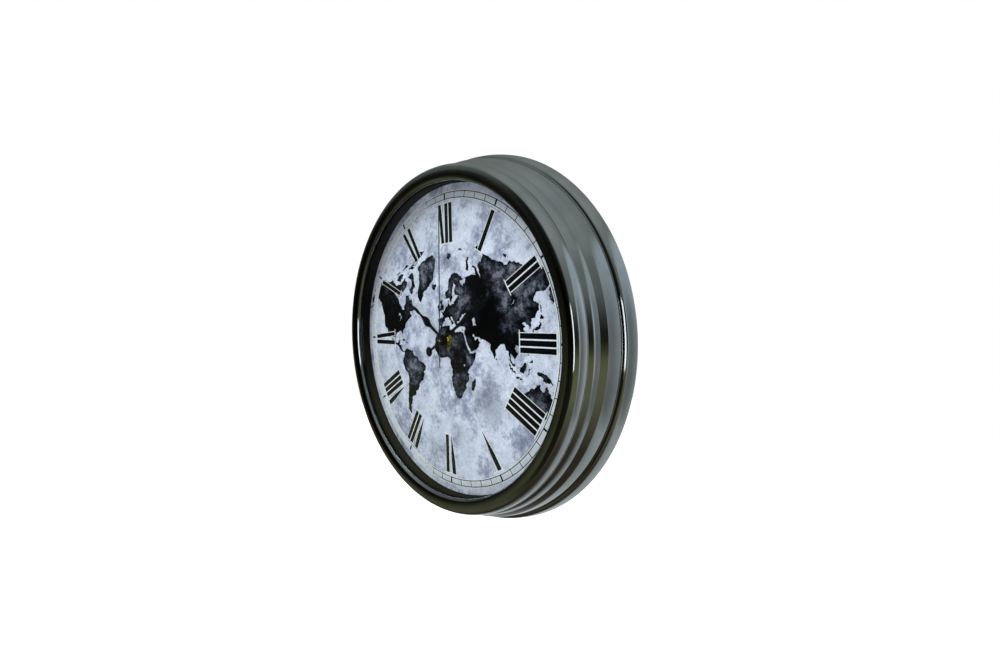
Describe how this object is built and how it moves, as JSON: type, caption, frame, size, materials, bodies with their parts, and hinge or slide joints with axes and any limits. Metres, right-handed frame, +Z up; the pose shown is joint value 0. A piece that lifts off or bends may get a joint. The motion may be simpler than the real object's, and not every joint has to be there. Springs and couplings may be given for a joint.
{
  "type": "world time clock",
  "caption": "Round wall clock with a deep stepped case, flat glass over a sunk world-map dial, ornate hands, and a battery movement with its gear train.",
  "frame": {"origin": "the hands' axis where it meets the wall plane, between the four wall pads", "axes": "+Y into the wall, so the dial faces -Y; +Z up, towards twelve; +X to the right, towards three, seen from the front"},
  "size_m": [0.4, 0.0648, 0.4],
  "materials": {
    "case": "black nickel plating, near mirror",
    "gasket": "matt",
    "glass": "clear, flat, polished",
    "ring": "gloss, near black",
    "dial_print": "printed paper, matt",
    "hardboard": "hardboard, smooth",
    "cover": "moulded, fine grain",
    "screw": "zinc plated",
    "hanger": "zinc plated sheet",
    "pad": "matt",
    "housing": "moulded, fine grain",
    "plate": "natural resin",
    "wheel": "natural resin",
    "brass": "turned",
    "washer": "matt",
    "magnet": "sintered",
    "iron": "stamped sheet",
    "bobbin": "moulded",
    "copper": "enamelled wire",
    "board": "glass-fibre board",
    "resin": "cast resin",
    "can": "drawn can",
    "cell": "printed sleeve",
    "contact": "nickel plated spring sheet",
    "hand": "satin black",
    "second_hand": "satin grey"
  },
  "bodies": {
    "case": {"case_shell": "case", "glass_gasket": "gasket", "glass_lens": "glass", "inner_ring": "ring", "dial_sheet": "dial_print", "dial_board": "hardboard", "back_cover": "cover", "cover_screws": "screw", "hanger_plate": "hanger", "hanger_screws": "screw", "wall_pads": "pad", "movement_front": "housing", "movement_rear": "housing", "centre_plate": "plate", "centre_bush": "brass", "rubber_washer": "washer", "flat_washer": "brass", "hex_nut": "brass", "stator": "iron", "coil_core": "iron", "coil_bobbin": "bobbin", "coil_winding": "copper", "circuit_board": "board", "chip": "resin", "crystal": "can", "battery": "cell", "positive_contact": "contact", "negative_contact": "contact"},
    "seconds": {"seconds_wheel": "wheel", "second_hand": "second_hand", "second_socket": "brass"},
    "third": {"third_wheel": "wheel"},
    "centre": {"centre_wheel": "wheel"},
    "fifth": {"fifth_wheel": "wheel"},
    "rotor": {"rotor": "magnet"},
    "minute": {"cannon_pinion": "brass", "minute_hand": "hand", "minute_collet": "brass"},
    "motion": {"motion_wheel": "wheel"},
    "hour": {"hour_wheel": "wheel", "hour_hand": "hand", "hour_collet": "brass"},
    "knob": {"setting_knob": "wheel"}
  },
  "joints": [
    {"name": "seconds_turn", "type": "hinge", "parent": "case", "child": "seconds", "pos_m": [0, -0.03, 0], "axis": [0, 1, 0], "continuous": true},
    {"name": "third_turn", "type": "hinge", "parent": "case", "child": "third", "pos_m": [-0.0084, -0.029, 0.00485], "axis": [0, 1, 0], "continuous": true},
    {"name": "centre_turn", "type": "hinge", "parent": "case", "child": "centre", "pos_m": [0, -0.031, 0], "axis": [0, 1, 0], "continuous": true},
    {"name": "fifth_turn", "type": "hinge", "parent": "case", "child": "fifth", "pos_m": [0.00846, -0.029, 0.00488], "axis": [0, 1, 0], "continuous": true},
    {"name": "rotor_turn", "type": "hinge", "parent": "case", "child": "rotor", "pos_m": [0.01629, -0.029, 0.00279], "axis": [0, 1, 0], "continuous": true},
    {"name": "minute_turn", "type": "hinge", "parent": "case", "child": "minute", "pos_m": [0, -0.04, 0], "axis": [0, 1, 0], "continuous": true},
    {"name": "motion_turn", "type": "hinge", "parent": "case", "child": "motion", "pos_m": [0.004, -0.036, -0.00693], "axis": [0, 1, 0], "continuous": true},
    {"name": "hour_turn", "type": "hinge", "parent": "case", "child": "hour", "pos_m": [0, -0.04, 0], "axis": [0, 1, 0], "continuous": true},
    {"name": "knob_turn", "type": "hinge", "parent": "case", "child": "knob", "pos_m": [0.01152, -0.028, -0.00966], "axis": [0, 1, 0], "continuous": true}
  ],
  "couplings": [
    {"joint": "third_turn", "follows": "seconds_turn", "ratio": -0.13333},
    {"joint": "centre_turn", "follows": "seconds_turn", "ratio": 0.016667},
    {"joint": "fifth_turn", "follows": "seconds_turn", "ratio": -6},
    {"joint": "rotor_turn", "follows": "seconds_turn", "ratio": 30},
    {"joint": "motion_turn", "follows": "minute_turn", "ratio": -0.33333},
    {"joint": "hour_turn", "follows": "minute_turn", "ratio": 0.083333},
    {"joint": "knob_turn", "follows": "minute_turn", "ratio": 1}
  ]
}
